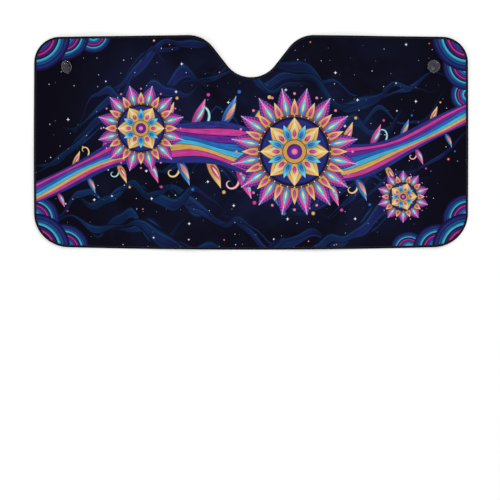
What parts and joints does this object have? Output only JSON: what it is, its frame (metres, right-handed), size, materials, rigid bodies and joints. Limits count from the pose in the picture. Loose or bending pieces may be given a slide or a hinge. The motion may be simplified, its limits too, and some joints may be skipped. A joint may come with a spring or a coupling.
{
  "type": "car windscreen sunshade",
  "caption": "Flat windscreen sunshade with a printed face, foil back, bound edge, a notch for the mirror and suction cups that turn in punched holes.",
  "frame": {"origin": "on the floor under the middle of the shade's outline", "axes": "+X along the shade's width, to the right as its printed face is read; +Y towards the notched upper edge; +Z out of the printed face"},
  "size_m": [1.4, 0.692, 0.0303],
  "materials": {
    "printed_laminate": "printed woven face on foam with a foil back",
    "binding_tape": "matt woven tape",
    "clear_vinyl": "clear soft vinyl"
  },
  "bodies": {
    "shade": {"shade_sheet": "printed_laminate", "edge_binding": "binding_tape"},
    "left_cup": {"suction_cup_left": "clear_vinyl"},
    "right_cup": {"suction_cup_right": "clear_vinyl"}
  },
  "joints": [
    {"name": "left_cup_swivel", "type": "hinge", "parent": "shade", "child": "left_cup", "pos_m": [-0.588, 0.244, 0], "axis": [0, 0, 1], "continuous": true},
    {"name": "right_cup_swivel", "type": "hinge", "parent": "shade", "child": "right_cup", "pos_m": [0.588, 0.244, 0], "axis": [0, 0, 1], "continuous": true}
  ]
}
